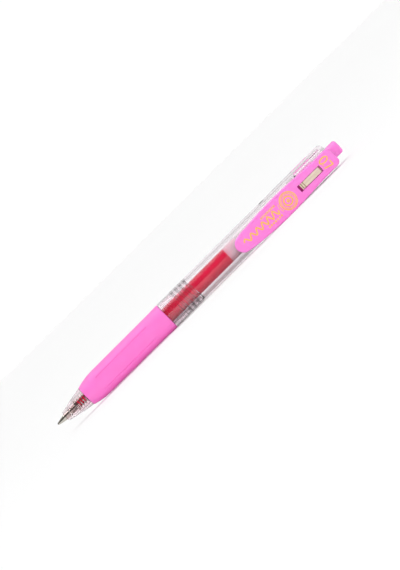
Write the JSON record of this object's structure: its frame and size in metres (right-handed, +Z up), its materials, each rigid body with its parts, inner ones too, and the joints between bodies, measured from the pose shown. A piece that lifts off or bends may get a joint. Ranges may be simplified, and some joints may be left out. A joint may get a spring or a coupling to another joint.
{
  "type": "retractable gel pen",
  "caption": "Click-action gel ink pen: clear barrel and nose, rubber grip, ink refill on a return spring, index rotor, push button and sprung hinged clip.",
  "frame": {"origin": "under the middle of the pen, on the surface it lies on", "axes": "+X along the pen from tip to push button, +Z up, the clip faces -Y; the pen rests on its barrel and on one long edge of the clip, as it lies by itself"},
  "size_m": [0.1401, 0.0144, 0.0108],
  "materials": {
    "clear_barrel": "clear moulded, polished",
    "clear_nose": "clear moulded, faint pink tint",
    "pink_rubber": "satin soft-touch",
    "pink_plastic": "gloss moulded",
    "white_plastic": "low-friction acetal",
    "refill_plastic": "translucent polypropylene",
    "ink": "wet gel, crimson",
    "follower_grease": "cloudy grease",
    "spring_steel": "bright drawn",
    "tip_steel": "turned, polished",
    "ball_steel": "ground and lapped"
  },
  "bodies": {
    "barrel": {"upper_barrel": "clear_barrel", "front_barrel": "clear_nose", "rubber_grip": "pink_rubber", "return_spring": "spring_steel", "clip_leaf_spring": "spring_steel"},
    "button": {"push_button": "pink_plastic"},
    "refill": {"refill_tube": "refill_plastic", "ink_column": "ink", "ink_follower": "follower_grease", "refill_tail_plug": "white_plastic", "tip_holder": "refill_plastic", "metal_tip": "tip_steel"},
    "rotor": {"cam_rotor": "white_plastic"},
    "ball": {"tip_ball": "ball_steel"},
    "clip": {"clip_arm": "pink_plastic"}
  },
  "joints": [
    {"name": "button_slide", "type": "slide", "parent": "barrel", "child": "button", "axis": [1, 0, 0], "range_m": [-0.001, 0.0045], "stiffness_N_per_m": 150},
    {"name": "refill_slide", "type": "slide", "parent": "barrel", "child": "refill", "axis": [1, 0, 0], "range_m": [-0.001, 0.0045], "deforming": ["return_spring"]},
    {"name": "rotor_turn", "type": "hinge", "parent": "refill", "child": "rotor", "pos_m": [0.04795, 0.00178, 0.0054], "axis": [1, 0, 0], "range_deg": [0, 45]},
    {"name": "ball_roll", "type": "hinge", "parent": "refill", "child": "ball", "pos_m": [-0.0697, 0.00178, 0.0054], "axis": [0, 1, 0], "continuous": true},
    {"name": "clip_hinge", "type": "hinge", "parent": "barrel", "child": "clip", "pos_m": [0.05495, -0.00426, 0.0046], "axis": [0, -0.132, 0.9912], "range_deg": [0, 8], "stiffness_Nm_per_rad": 0.2, "springref_deg": -11.46, "deforming": ["clip_leaf_spring"]}
  ],
  "couplings": [
    {"joint": "refill_slide", "follows": "button_slide", "ratio": 1}
  ]
}
